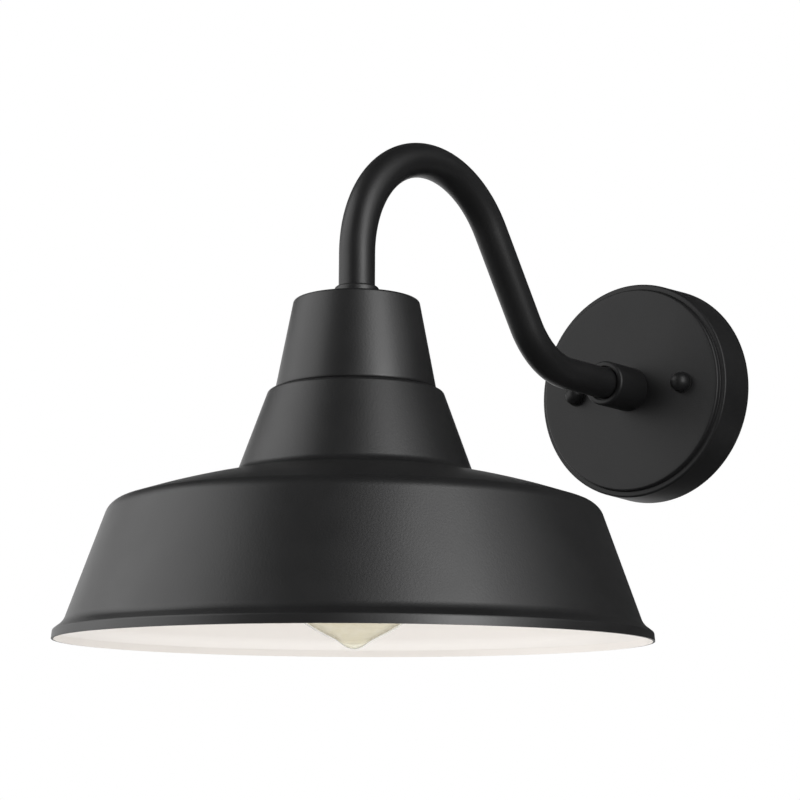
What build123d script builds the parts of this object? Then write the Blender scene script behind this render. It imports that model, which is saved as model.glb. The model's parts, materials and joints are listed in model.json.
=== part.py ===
from build123d import *
import os
from math import cos, radians, sin

os.makedirs("parts", exist_ok=True)

# Outdoor wall lantern, millimetres, +Z up. The origin is the centre of the canopy's wall face: the wall is the
# plane Y = 0 and the lamp stands out from it towards -Y. "Out" is a distance from the wall, a positive number.

# Shade: heights are above the rim, radii are on the outside of the sheet
SHADE_OUT = 310.0
RIM_DROP = 179.6
SHADE_SHEET = 1.2
RIM_R = 162.2
LIP_R = 161.5
LIP_H = 4.6
SKIRT_R = 156.2
SKIRT_H = 8.9
SHOULDER_R = 133.9
SHOULDER_H = 72.7
DOME_R = 99.3
DOME_H = 83.8
NECK_BASE_R = 65.3
NECK_BASE_H = 91.2
NECK_LEDGE = 3.6
NECK_TOP_H = 137.8
LIP_BEND = 1.6
FLARE_BEND = 9.0
SHOULDER_BEND = 10.0
DOME_BEND = 350.0
NECK_BASE_BEND = 6.5
NECK_TOP_BEND = 2.9
FLANGE_WIDTH = 8.9

# Socket cap and the collar on it
CAP_BASE_R = 44.9
CAP_TOP_R = 35.2
CAP_HEIGHT = 51.3
CAP_SHEET = 1.5
CAP_BASE_BEND = 2.0
CAP_TOP_BEND = 1.9
COLLAR_WIDTH = 2.2
COLLAR_HEIGHT = 8.5
COLLAR_ROUND = 1.8

# Arm: a plumb run, an arch, a slanted leg and a bend into a level run
TUBE_R = 10.2
TUBE_WALL = 1.6
ARCH_START_Z = 37.2
ARCH_R = 69.0
ARCH_TURN = 145.4
FOOT_BEND_R = 55.5
TUBE_IN_CAP = 14.5
TUBE_IN_CANOPY = 10.0

# Canopy, sleeve and their fixings
CANOPY_R = 72.7
CANOPY_SHEET = 1.2
CANOPY_DEPTH = 27.8
CANOPY_TAPER = 1.1
CANOPY_CORNER = 1.5
FACE_LEDGE = 3.8
FACE_RAISE = 3.3
FACE_LEAN = 0.3
FACE_FOOT_BEND = 0.6
FACE_ROUND = 1.4
SLEEVE_WALL = 4.3
SLEEVE_LENGTH = 30.9
SLEEVE_ROUND = 1.8
SLEEVE_MOUTH_GAP = 1.6
SLEEVE_MOUTH_DEPTH = 3.0
STUD_SPACING = 82.6
STUD_R = 2.05
NUT_R = 6.3
NUT_COLLAR = 2.0
NUT_BORE_SPARE = 0.6
STUD_IN_NUT = 5.8
WASHER_R = 6.9
WASHER_THICK = 1.0
PLATE_EDGE = 3.05
PLATE_THICK = 2.0
PLATE_WIRE_HOLE_R = 18.0
BOX_SLOT_SPACING = 88.9
BOX_SLOT_LENGTH = 11.0
BOX_SLOT_WIDTH = 5.0
GROUND_RADIUS = 37.0
GROUND_ANGLE = 225.0
GROUND_SHANK_R = 1.9
GROUND_HEAD_R = 4.2
GROUND_HEAD_THICK = 2.6
GASKET_WIDTH = 7.0
GASKET_DEPTH = 4.0
LOCKNUT_WALL = 4.7
LOCKNUT_THICK = 5.0

# Lampholder: nipple, strap, porcelain body, screw shell and contact
PLUG_FLANGE = 3.0
PLUG_SPIGOT = 8.0
NIPPLE_R = 4.85
NIPPLE_BORE_R = 3.4
NIPPLE_TAIL = 2.5
STRAP_WIDTH = 12.0
STRAP_THICK = 1.5
STRAP_SPAN = 43.0
STRAP_HEIGHT = 19.5
STRAP_FOOT = 10.5
STRAP_NUT_WALL = 2.55
STRAP_NUT_THICK = 4.0
STRAP_SCREW_R = 2.0
STRAP_SCREW_HEAD_R = 3.6
STRAP_SCREW_HEAD = 2.4
STRAP_SCREW_COVER = 1.2
STRAP_SCREW_EDGE = 5.0
SOCKET_R = 22.5
SOCKET_ROUND = 2.0
SOCKET_FLOOR = 10.5
SHELL_WALL = 0.6
SHELL_INSET = 1.5
SHELL_EYE_R = 8.0
CONTACT_SPACE = 6.0
CONTACT_STRIP = 0.6
CONTACT_WIDTH = 6.0
CONTACT_FOOT = 9.0
CONTACT_TONGUE = 6.5
TERMINAL_OUT = 15.0
TERMINAL_R = 1.8
TERMINAL_HEAD_R = 3.6
TERMINAL_HEAD = 2.2
TERMINAL_DEPTH = 7.0

# Leads and their connectors
LEAD_R = 1.2
LEAD_GAP = 0.6
LEAD_SOCKET_BEND = 8.0
LEAD_SOCKET_REACH = 18.5
LEAD_CANOPY_BEND = 7.0
LEAD_CANOPY_OUT = 9.0
LEAD_CANOPY_REACH = 30.0
CONNECTOR_R = 5.6
CONNECTOR_TIP_R = 3.6
CONNECTOR_LENGTH = 22.0
CONNECTOR_GRIP = 11.0

# Shade screws
SHADE_SCREWS = 3
SHADE_SCREW_R = 1.75
SHADE_SCREW_HEAD_R = 3.3
SHADE_SCREW_HEAD = 2.0
SHADE_SCREW_TAIL = 2.5
SHADE_SCREW_INSET = 4.9

# Bulb: heights are above its tip
BULB_R = 32.0
BULB_BELLY_H = 31.0
BULB_TIP_R = 9.6
BULB_TIP_H = 4.0
BULB_CHEEK_R = 25.3
BULB_CHEEK_H = 14.0
BULB_WAIST_R = 25.1
BULB_WAIST_H = 67.4
BULB_NECK_PLAY = 0.4
BULB_GLASS = 0.9
GLASS_IN_BASE = 5.0
BASE_R = 13.1
BASE_WALL = 0.5
BASE_LOW_H = 108.0
BASE_SCREW_LENGTH = 21.0
BASE_CONE = 3.0
BASE_TOP_R = 9.0
BASE_EYE_R = 6.0
INSULATOR_THICK = 4.0
INSULATOR_R = 8.8
BULB_CONTACT_R = 4.8
BULB_CONTACT_THICK = 3.5
BULB_CONTACT_DOME = 1.0
STEM_LENGTH = 29.0
STEM_R = 3.2
STEM_FLARE = 11.0
STEM_GLASS = 1.0
CAGE_GAP = 4.0
CAGE_LENGTH = 43.0
CAGE_TOP_R = 8.2
CAGE_LOW_R = 12.2
CAGE_STRANDS = 10
CAGE_SWEEP = 330.0
CAGE_CORNER = 8.0
FILAMENT_R = 0.25
FILAMENT_BEND = 0.4
SUPPORT_R = 0.3
SUPPORT_ROD_R = 0.8
FILAMENT_LEAD_R = 0.3
FILAMENT_LEAD_START_R = 2.0

# Clearances
FIT = 0.1
RUNNING = 0.3
SHELL_PLAY = 0.5
CONTACT_GAP = 0.1

# Derived places
shade_plane = Plane.XZ.offset(SHADE_OUT)
shade_axis = Axis((0, -SHADE_OUT, 0), (0, 0, 1))
rim_z = -RIM_DROP
neck_top_z = rim_z + NECK_TOP_H
neck_top_r = CAP_BASE_R + NECK_LEDGE
socket_hole_r = CAP_BASE_R - FLANGE_WIDTH
screw_circle_r = CAP_BASE_R - SHADE_SCREW_INSET
cap_top_z = neck_top_z + CAP_HEIGHT
tube_end_z = cap_top_z - TUBE_IN_CAP
tube_bore_r = TUBE_R - TUBE_WALL
tube_hole_r = TUBE_R + FIT
locknut_r = tube_hole_r + LOCKNUT_WALL
canopy_front_r = CANOPY_R - CANOPY_TAPER
face_foot_r = canopy_front_r - FACE_LEDGE
face_out = CANOPY_DEPTH + FACE_RAISE
tube_end_out = face_out - TUBE_IN_CANOPY
strap_top_z = tube_end_z - PLUG_FLANGE
socket_top_z = strap_top_z - STRAP_HEIGHT
socket_floor_z = socket_top_z - SOCKET_FLOOR
bulb_contact_z = socket_floor_z - CONTACT_SPACE
base_shoulder_h = BASE_LOW_H + BASE_SCREW_LENGTH
base_top_h = base_shoulder_h + BASE_CONE
insulator_h = base_top_h + INSULATOR_THICK
bulb_length = insulator_h + BULB_CONTACT_THICK
tip_z = bulb_contact_z - bulb_length
bulb_neck_r = BASE_R - BASE_WALL - BULB_NECK_PLAY
glass_top_h = BASE_LOW_H + GLASS_IN_BASE
stem_low_h = glass_top_h - STEM_LENGTH
stem_flare_h = glass_top_h - STEM_FLARE
cage_top_h = stem_low_h - CAGE_GAP
cage_low_h = cage_top_h - CAGE_LENGTH
shell_bore_r = BASE_R + SHELL_PLAY
shell_r = shell_bore_r + SHELL_WALL
socket_mouth_z = tip_z + BASE_LOW_H - SHELL_INSET
lead_offset = LEAD_R + LEAD_GAP / 2


def on_shade_axis(z):
    """Level plane at height z, centred on the shade's axis."""
    return Plane(origin=(0, -SHADE_OUT, z))


def above_tip(h):
    """Height z of a point that is h above the bulb's tip."""
    return tip_z + h


def save(piece, name):
    """Label a finished piece and write it to its file."""
    piece.part.label = name
    export_step(piece.part, f"parts/{name}.step")


def add_arm_run(start_z, end_out):
    """Add the arm's centreline to the open line: up from start_z, over the arch and in to end_out."""
    turn = radians(ARCH_TURN)
    leg_drop = ARCH_START_Z + ARCH_R * sin(turn) - FOOT_BEND_R * (1 - sin(turn))
    leg_length = -leg_drop / cos(turn)
    plumb = Line((-SHADE_OUT, start_z), (-SHADE_OUT, ARCH_START_Z))
    arch = JernArc(plumb @ 1, plumb % 1, ARCH_R, -ARCH_TURN)
    leg = PolarLine(arch @ 1, leg_length, direction=arch % 1)
    foot = JernArc(leg @ 1, leg % 1, FOOT_BEND_R, ARCH_TURN - 90)
    return Line(foot @ 1, (-end_out, 0))


# Shade: one spun shell, open at the neck for the lampholder, with holes for its screws
with BuildPart() as shade:
    with BuildSketch(shade_plane):
        with BuildLine():
            FilletPolyline(
                (socket_hole_r, neck_top_z),
                (neck_top_r, neck_top_z),
                (NECK_BASE_R, rim_z + NECK_BASE_H),
                (DOME_R, rim_z + DOME_H),
                (SHOULDER_R, rim_z + SHOULDER_H),
                (SKIRT_R, rim_z + SKIRT_H),
                (LIP_R, rim_z + LIP_H),
                (RIM_R, rim_z),
                radius=[NECK_TOP_BEND, NECK_BASE_BEND, DOME_BEND, SHOULDER_BEND, FLARE_BEND, LIP_BEND],
            )
            offset(amount=SHADE_SHEET, side=Side.RIGHT)
        make_face()
    revolve(axis=shade_axis)
    with BuildSketch(on_shade_axis(neck_top_z)):
        with PolarLocations(screw_circle_r, SHADE_SCREWS):
            Circle(SHADE_SCREW_R + FIT)
    extrude(amount=-SHADE_SHEET, mode=Mode.SUBTRACT)
save(shade, "shade")

# Socket cap: conical housing with a flange that lies on the shade's neck
with BuildPart() as socket_cap:
    with BuildSketch(shade_plane):
        with BuildLine():
            FilletPolyline(
                (socket_hole_r, neck_top_z),
                (CAP_BASE_R, neck_top_z),
                (CAP_TOP_R, cap_top_z),
                (tube_hole_r, cap_top_z),
                radius=[CAP_BASE_BEND, CAP_TOP_BEND],
            )
            offset(amount=CAP_SHEET, side=Side.LEFT)
        make_face()
    revolve(axis=shade_axis)
    with BuildSketch(on_shade_axis(neck_top_z)):
        with PolarLocations(screw_circle_r, SHADE_SCREWS):
            Circle(SHADE_SCREW_R + FIT)
    extrude(amount=CAP_SHEET, mode=Mode.SUBTRACT)
save(socket_cap, "socket_cap")

# Shade screws, heads below the neck's flange
with BuildPart() as shade_screws:
    with BuildSketch(on_shade_axis(neck_top_z - SHADE_SHEET)):
        with PolarLocations(screw_circle_r, SHADE_SCREWS):
            Circle(SHADE_SCREW_HEAD_R)
    extrude(amount=-SHADE_SCREW_HEAD)
    with BuildSketch(on_shade_axis(neck_top_z - SHADE_SHEET)):
        with PolarLocations(screw_circle_r, SHADE_SCREWS):
            Circle(SHADE_SCREW_R)
    extrude(amount=SHADE_SHEET + CAP_SHEET + SHADE_SCREW_TAIL)
save(shade_screws, "shade_screws")

# Collar round the arm on top of the cap
with BuildPart() as cap_collar:
    with BuildSketch(on_shade_axis(cap_top_z)):
        Circle(tube_hole_r + COLLAR_WIDTH)
        Circle(tube_hole_r, mode=Mode.SUBTRACT)
    extrude(amount=COLLAR_HEIGHT)
    fillet(cap_collar.edges().group_by(Axis.Z)[-1].sort_by(SortBy.RADIUS)[-1], COLLAR_ROUND)
save(cap_collar, "cap_collar")

# Arm: one bent tube from inside the cap to inside the canopy
with BuildPart() as arm_tube:
    with BuildLine(Plane.YZ) as arm_line:
        add_arm_run(tube_end_z, tube_end_out)
    with BuildSketch(on_shade_axis(tube_end_z)):
        Circle(TUBE_R)
        Circle(tube_bore_r, mode=Mode.SUBTRACT)
    sweep(path=arm_line.wire())
save(arm_tube, "arm_tube")

# Locknut under the cap's top
with BuildPart() as cap_locknut:
    with BuildSketch(on_shade_axis(cap_top_z - CAP_SHEET)):
        RegularPolygon(locknut_r, 6, major_radius=False)
        Circle(tube_hole_r, mode=Mode.SUBTRACT)
    extrude(amount=-LOCKNUT_THICK)
save(cap_locknut, "cap_locknut")

# Bush in the arm's lower end
with BuildPart() as arm_plug:
    with BuildSketch(on_shade_axis(tube_end_z)):
        Circle(TUBE_R)
    extrude(amount=-PLUG_FLANGE)
    with BuildSketch(on_shade_axis(tube_end_z)):
        Circle(tube_bore_r - FIT)
    extrude(amount=PLUG_SPIGOT)
    with BuildSketch(on_shade_axis(strap_top_z)):
        Circle(NIPPLE_R + FIT)
    extrude(amount=PLUG_FLANGE + PLUG_SPIGOT, mode=Mode.SUBTRACT)
save(arm_plug, "arm_plug")

# Threaded nipple through the bush, the strap and its locknut
nipple_end_z = strap_top_z - STRAP_THICK - STRAP_NUT_THICK - NIPPLE_TAIL
with BuildPart() as socket_nipple:
    with BuildSketch(on_shade_axis(nipple_end_z)):
        Circle(NIPPLE_R)
        Circle(NIPPLE_BORE_R, mode=Mode.SUBTRACT)
    extrude(amount=tube_end_z + PLUG_SPIGOT - nipple_end_z)
save(socket_nipple, "socket_nipple")

# Strap: a bent strip whose feet stand on the porcelain
strap_screw_x = STRAP_SPAN / 2 - STRAP_THICK - STRAP_SCREW_EDGE
strap_screw_hole = SOCKET_FLOOR - STRAP_SCREW_COVER
with BuildPart() as socket_strap:
    with BuildSketch(shade_plane):
        with BuildLine():
            Polyline(
                (STRAP_SPAN / 2 - STRAP_FOOT, socket_top_z),
                (STRAP_SPAN / 2, socket_top_z),
                (STRAP_SPAN / 2, strap_top_z),
                (-STRAP_SPAN / 2, strap_top_z),
                (-STRAP_SPAN / 2, socket_top_z),
                (-STRAP_SPAN / 2 + STRAP_FOOT, socket_top_z),
            )
            offset(amount=STRAP_THICK, side=Side.LEFT, kind=Kind.INTERSECTION)
        make_face()
    extrude(amount=STRAP_WIDTH / 2, both=True)
    with BuildSketch(on_shade_axis(strap_top_z)):
        Circle(NIPPLE_R + FIT)
    extrude(amount=-STRAP_THICK, mode=Mode.SUBTRACT)
    with BuildSketch(on_shade_axis(socket_top_z)):
        with Locations((strap_screw_x, 0), (-strap_screw_x, 0)):
            Circle(STRAP_SCREW_R + FIT)
    extrude(amount=STRAP_THICK, mode=Mode.SUBTRACT)
save(socket_strap, "socket_strap")

with BuildPart() as strap_locknut:
    with BuildSketch(on_shade_axis(strap_top_z - STRAP_THICK)):
        RegularPolygon(NIPPLE_R + FIT + STRAP_NUT_WALL, 6, major_radius=False)
        Circle(NIPPLE_R + FIT, mode=Mode.SUBTRACT)
    extrude(amount=-STRAP_NUT_THICK)
save(strap_locknut, "strap_locknut")

with BuildPart() as strap_screws:
    with BuildSketch(on_shade_axis(socket_top_z + STRAP_THICK)):
        with Locations((strap_screw_x, 0), (-strap_screw_x, 0)):
            Circle(STRAP_SCREW_HEAD_R)
    extrude(amount=STRAP_SCREW_HEAD)
    with BuildSketch(on_shade_axis(socket_top_z + STRAP_THICK)):
        with Locations((strap_screw_x, 0), (-strap_screw_x, 0)):
            Circle(STRAP_SCREW_R)
    extrude(amount=-STRAP_THICK - strap_screw_hole + RUNNING)
save(strap_screws, "strap_screws")

# Porcelain lampholder with blind holes for the strap's and the terminals' screws
terminal_x = lead_offset + LEAD_R + TERMINAL_R + RUNNING
with BuildPart() as socket_body:
    with BuildSketch(on_shade_axis(socket_mouth_z)):
        Circle(SOCKET_R)
    extrude(amount=socket_top_z - socket_mouth_z)
    fillet(socket_body.edges().filter_by(GeomType.CIRCLE), SOCKET_ROUND)
    with BuildSketch(on_shade_axis(socket_mouth_z)):
        Circle(shell_r + FIT)
    extrude(amount=socket_floor_z - socket_mouth_z, mode=Mode.SUBTRACT)
    with BuildSketch(on_shade_axis(socket_top_z)):
        with Locations((strap_screw_x, 0), (-strap_screw_x, 0)):
            Circle(STRAP_SCREW_R + FIT)
    extrude(amount=-strap_screw_hole, mode=Mode.SUBTRACT)
    with BuildSketch(on_shade_axis(socket_top_z)):
        with Locations((-terminal_x, -TERMINAL_OUT), (terminal_x, TERMINAL_OUT)):
            Circle(TERMINAL_R + FIT)
    extrude(amount=-TERMINAL_DEPTH - RUNNING, mode=Mode.SUBTRACT)
save(socket_body, "socket_body")

# Brass screw shell, seated on the floor of the porcelain
with BuildPart() as socket_shell:
    with BuildSketch(on_shade_axis(socket_mouth_z + SHELL_INSET)):
        Circle(shell_r)
    extrude(amount=socket_floor_z - socket_mouth_z - SHELL_INSET)
    with BuildSketch(on_shade_axis(socket_mouth_z + SHELL_INSET)):
        Circle(shell_bore_r)
    extrude(amount=socket_floor_z - SHELL_WALL - socket_mouth_z - SHELL_INSET, mode=Mode.SUBTRACT)
    with BuildSketch(on_shade_axis(socket_floor_z)):
        Circle(SHELL_EYE_R)
    extrude(amount=-SHELL_WALL, mode=Mode.SUBTRACT)
save(socket_shell, "socket_shell")

# Sprung centre contact: a strip folded back under its foot
contact_bend = (CONTACT_SPACE - CONTACT_STRIP - CONTACT_GAP) / 2
with BuildPart() as socket_contact:
    with BuildSketch(shade_plane):
        with BuildLine():
            foot_z = socket_floor_z - CONTACT_STRIP
            foot = Line((-CONTACT_FOOT / 2, foot_z), (CONTACT_FOOT / 2 - contact_bend, foot_z))
            fold = JernArc(foot @ 1, foot % 1, contact_bend - CONTACT_STRIP / 2, -180)
            PolarLine(fold @ 1, CONTACT_TONGUE, direction=fold % 1)
            offset(amount=CONTACT_STRIP, side=Side.LEFT)
        make_face()
    extrude(amount=CONTACT_WIDTH / 2, both=True)
save(socket_contact, "socket_contact")

# Terminal screws beside the bared ends of the leads
terminal_seat_z = socket_top_z + 2 * LEAD_R + FIT
for name, side in (("terminal_screw_hot", -1), ("terminal_screw_neutral", 1)):
    with BuildPart() as terminal_screw:
        with BuildSketch(on_shade_axis(terminal_seat_z)):
            with Locations((side * terminal_x, side * TERMINAL_OUT)):
                Circle(TERMINAL_HEAD_R)
        extrude(amount=TERMINAL_HEAD)
        with BuildSketch(on_shade_axis(terminal_seat_z)):
            with Locations((side * terminal_x, side * TERMINAL_OUT)):
                Circle(TERMINAL_R)
        extrude(amount=-(terminal_seat_z - socket_top_z) - TERMINAL_DEPTH)
    save(terminal_screw, name)

# Leads: from a terminal up the nipple, through the arm and into a connector in the canopy
lead_seat_z = socket_top_z + LEAD_R
for name, side in (("lead_hot", -1), ("lead_neutral", 1)):
    with BuildPart() as lead:
        with BuildLine(Plane.YZ.offset(side * lead_offset)) as lead_line:
            bared = Line(
                (-SHADE_OUT + side * LEAD_SOCKET_REACH, lead_seat_z),
                (-SHADE_OUT + side * LEAD_SOCKET_BEND, lead_seat_z),
            )
            rise = JernArc(bared @ 1, bared % 1, LEAD_SOCKET_BEND, -side * 90)
            inlet = add_arm_run(lead_seat_z + LEAD_SOCKET_BEND, LEAD_CANOPY_OUT + LEAD_CANOPY_BEND)
            bend = JernArc(inlet @ 1, inlet % 1, LEAD_CANOPY_BEND, -side * 90)
            PolarLine(bend @ 1, LEAD_CANOPY_REACH - LEAD_CANOPY_BEND, direction=bend % 1)
        with BuildSketch(Plane(origin=lead_line.wire() @ 0, z_dir=lead_line.wire() % 0)):
            Circle(LEAD_R)
        sweep(path=lead_line.wire())
    save(lead, name)

# Twist-on connectors over the leads' ends
for name, side in (("wire_connector_hot", -1), ("wire_connector_neutral", 1)):
    connector_plane = Plane(
        origin=(side * lead_offset, -LEAD_CANOPY_OUT, -side * (LEAD_CANOPY_REACH - CONNECTOR_GRIP)),
        z_dir=(0, 0, -side),
    )
    with BuildPart() as wire_connector:
        with BuildSketch(connector_plane):
            Circle(CONNECTOR_R)
        with BuildSketch(connector_plane.offset(CONNECTOR_LENGTH)):
            Circle(CONNECTOR_TIP_R)
        loft()
        with BuildSketch(connector_plane):
            Circle(LEAD_R + RUNNING)
        extrude(amount=CONNECTOR_GRIP + FIT, mode=Mode.SUBTRACT)
    save(wire_connector, name)

# Canopy: hollow dish with a raised face, cut flush at the wall, with holes for the arm and the studs
with BuildPart() as canopy:
    with BuildSketch(Plane.XY):
        with BuildLine():
            FilletPolyline(
                (CANOPY_R, 0),
                (canopy_front_r, -CANOPY_DEPTH),
                (face_foot_r, -CANOPY_DEPTH),
                (face_foot_r - FACE_LEAN, -face_out),
                (tube_hole_r, -face_out),
                radius=[CANOPY_CORNER, FACE_FOOT_BEND, FACE_ROUND],
            )
            offset(amount=CANOPY_SHEET, side=Side.RIGHT)
        make_face()
    revolve(axis=Axis.Y)
    split(bisect_by=Plane.XZ)
    with BuildSketch(Plane.XZ.offset(face_out)):
        with GridLocations(STUD_SPACING, 1, 2, 1):
            Circle(STUD_R + RUNNING)
    extrude(amount=-CANOPY_SHEET, mode=Mode.SUBTRACT)
save(canopy, "canopy")

# Sleeve: a close fit on the arm, with a wider mouth
with BuildPart() as wall_sleeve:
    with BuildSketch(Plane.XZ.offset(face_out)):
        Circle(tube_hole_r + SLEEVE_WALL)
        Circle(tube_hole_r, mode=Mode.SUBTRACT)
    extrude(amount=SLEEVE_LENGTH)
    fillet(wall_sleeve.edges().group_by(Axis.Y)[0].sort_by(SortBy.RADIUS)[-1], SLEEVE_ROUND)
    with BuildSketch(Plane.XZ.offset(face_out + SLEEVE_LENGTH)):
        Circle(tube_hole_r + SLEEVE_MOUTH_GAP)
    extrude(amount=-SLEEVE_MOUTH_DEPTH, mode=Mode.SUBTRACT)
save(wall_sleeve, "wall_sleeve")

# Locknut on the arm inside the canopy
with BuildPart() as hub_locknut:
    with BuildSketch(Plane.XZ.offset(face_out - CANOPY_SHEET)):
        RegularPolygon(locknut_r, 6, major_radius=False)
        Circle(tube_hole_r, mode=Mode.SUBTRACT)
    extrude(amount=-LOCKNUT_THICK)
save(hub_locknut, "hub_locknut")

# Mount plate: slots for the wall box above and below, tapped holes for the studs left and right
ground_x = GROUND_RADIUS * cos(radians(GROUND_ANGLE))
ground_z = GROUND_RADIUS * sin(radians(GROUND_ANGLE))
with BuildPart() as mount_plate:
    with BuildSketch(Plane.XZ):
        Circle((BOX_SLOT_SPACING + BOX_SLOT_LENGTH) / 2 + PLATE_EDGE)
        Circle(PLATE_WIRE_HOLE_R, mode=Mode.SUBTRACT)
        with GridLocations(1, BOX_SLOT_SPACING, 1, 2):
            SlotOverall(BOX_SLOT_LENGTH, BOX_SLOT_WIDTH, rotation=90, mode=Mode.SUBTRACT)
        with GridLocations(STUD_SPACING, 1, 2, 1):
            Circle(STUD_R + FIT, mode=Mode.SUBTRACT)
        with Locations((ground_x, ground_z)):
            Circle(GROUND_SHANK_R + FIT, mode=Mode.SUBTRACT)
    extrude(amount=PLATE_THICK)
save(mount_plate, "mount_plate")

with BuildPart() as ground_screw:
    with BuildSketch(Plane.XZ):
        with Locations((ground_x, ground_z)):
            Circle(GROUND_SHANK_R)
    extrude(amount=PLATE_THICK)
    with BuildSketch(Plane.XZ.offset(PLATE_THICK)):
        with Locations((ground_x, ground_z)):
            RegularPolygon(GROUND_HEAD_R, 6)
    extrude(amount=GROUND_HEAD_THICK)
save(ground_screw, "ground_screw")

# Seal inside the canopy's rim
gasket_r = CANOPY_R - CANOPY_TAPER * GASKET_DEPTH / CANOPY_DEPTH - CANOPY_SHEET - RUNNING
with BuildPart() as wall_gasket:
    with BuildSketch(Plane.XZ):
        Circle(gasket_r)
        Circle(gasket_r - GASKET_WIDTH, mode=Mode.SUBTRACT)
    extrude(amount=GASKET_DEPTH)
save(wall_gasket, "wall_gasket")

# Studs, washers and domed cap nuts
nut_seat_out = face_out + WASHER_THICK
stud_out = nut_seat_out + STUD_IN_NUT
nut_bore_out = stud_out + NUT_BORE_SPARE
for name, side in (("left", -1), ("right", 1)):
    stud_x = side * STUD_SPACING / 2
    with BuildPart() as stud:
        with BuildSketch(Plane.XZ):
            with Locations((stud_x, 0)):
                Circle(STUD_R)
        extrude(amount=stud_out)
    save(stud, f"stud_{name}")

    with BuildPart() as washer:
        with BuildSketch(Plane.XZ.offset(face_out)):
            with Locations((stud_x, 0)):
                Circle(WASHER_R)
                Circle(STUD_R + RUNNING, mode=Mode.SUBTRACT)
        extrude(amount=WASHER_THICK)
    save(washer, f"washer_{name}")

    with BuildPart() as cap_nut:
        with BuildSketch(Plane(origin=(stud_x, 0, 0))):
            with BuildLine():
                bore_end = (0, -nut_bore_out)
                Polyline(
                    bore_end,
                    (STUD_R + RUNNING, -nut_bore_out),
                    (STUD_R + RUNNING, -nut_seat_out),
                    (NUT_R, -nut_seat_out),
                    (NUT_R, -nut_seat_out - NUT_COLLAR),
                )
                dome_top = (0, -nut_seat_out - NUT_COLLAR - NUT_R)
                RadiusArc((NUT_R, -nut_seat_out - NUT_COLLAR), dome_top, NUT_R)
                Line(dome_top, bore_end)
            make_face()
        revolve(axis=Axis((stud_x, 0, 0), (0, 1, 0)))
    save(cap_nut, f"cap_nut_{name}")

# Bulb glass: a belly with a drawn tip, tapering to the neck
with BuildPart() as bulb_glass:
    with BuildSketch(shade_plane):
        with BuildLine():
            outer_tip = (0, above_tip(0))
            inner_tip = (0, above_tip(2 * BULB_GLASS))
            for inset, tip in ((0, outer_tip), (BULB_GLASS, inner_tip)):
                slant = inset * sin(radians(45))
                belly = (BULB_R - inset, above_tip(BULB_BELLY_H))
                Spline(
                    tip,
                    (BULB_TIP_R, above_tip(BULB_TIP_H + inset)),
                    (BULB_CHEEK_R - slant, above_tip(BULB_CHEEK_H + slant)),
                    belly,
                    tangents=[(1, 0.25), (0, 1)],
                )
                Spline(
                    belly,
                    (BULB_WAIST_R - inset, above_tip(BULB_WAIST_H)),
                    (bulb_neck_r - inset, above_tip(glass_top_h)),
                    tangents=[(0, 1), (0, 1)],
                )
            Line(outer_tip, inner_tip)
            Line((bulb_neck_r, above_tip(glass_top_h)), (bulb_neck_r - BULB_GLASS, above_tip(glass_top_h)))
        make_face()
    revolve(axis=shade_axis)
save(bulb_glass, "bulb_glass")

# Bulb base: screw cap, insulator and centre contact
with BuildPart() as bulb_base:
    with BuildSketch(shade_plane):
        with BuildLine():
            Polyline(
                (BASE_R, above_tip(BASE_LOW_H)),
                (BASE_R, above_tip(base_shoulder_h)),
                (BASE_TOP_R, above_tip(base_top_h)),
                (BASE_EYE_R, above_tip(base_top_h)),
            )
            offset(amount=BASE_WALL, side=Side.LEFT, kind=Kind.INTERSECTION)
        make_face()
    revolve(axis=shade_axis)
save(bulb_base, "bulb_base")

with BuildPart() as bulb_insulator:
    with BuildSketch(on_shade_axis(above_tip(base_top_h))):
        Circle(INSULATOR_R)
    with BuildSketch(on_shade_axis(above_tip(insulator_h))):
        Circle(BULB_CONTACT_R)
    loft()
save(bulb_insulator, "bulb_insulator")

with BuildPart() as bulb_contact:
    with BuildSketch(on_shade_axis(above_tip(insulator_h))):
        Circle(BULB_CONTACT_R)
    extrude(amount=BULB_CONTACT_THICK)
    fillet(bulb_contact.edges().group_by(Axis.Z)[-1], BULB_CONTACT_DOME)
save(bulb_contact, "bulb_contact")

# Glass stem: a rod that flares to meet the neck
flare_r = bulb_neck_r - BULB_GLASS - RUNNING
with BuildPart() as bulb_stem:
    with BuildSketch(shade_plane):
        with BuildLine():
            Polyline(
                (0, above_tip(stem_low_h)),
                (STEM_R, above_tip(stem_low_h)),
                (STEM_R, above_tip(stem_flare_h)),
                (flare_r, above_tip(glass_top_h - STEM_GLASS)),
                (flare_r, above_tip(glass_top_h)),
                (flare_r - STEM_GLASS, above_tip(glass_top_h)),
                (STEM_R - STEM_GLASS, above_tip(stem_flare_h + STEM_GLASS)),
                (0, above_tip(stem_flare_h + STEM_GLASS)),
                close=True,
            )
        make_face()
    revolve(axis=shade_axis)
save(bulb_stem, "bulb_stem")


def cage_point(index, turned=0.0):
    """Point of the filament's zigzag: even corners hang from the top spokes, odd ones turn at the low spokes."""
    angle = radians(index * CAGE_SWEEP / CAGE_STRANDS + turned)
    top = index % 2 == 0
    radius = CAGE_TOP_R if top else CAGE_LOW_R
    height = cage_top_h if top else cage_low_h
    return Vector(radius * cos(angle), radius * sin(angle) - SHADE_OUT, above_tip(height))


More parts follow.
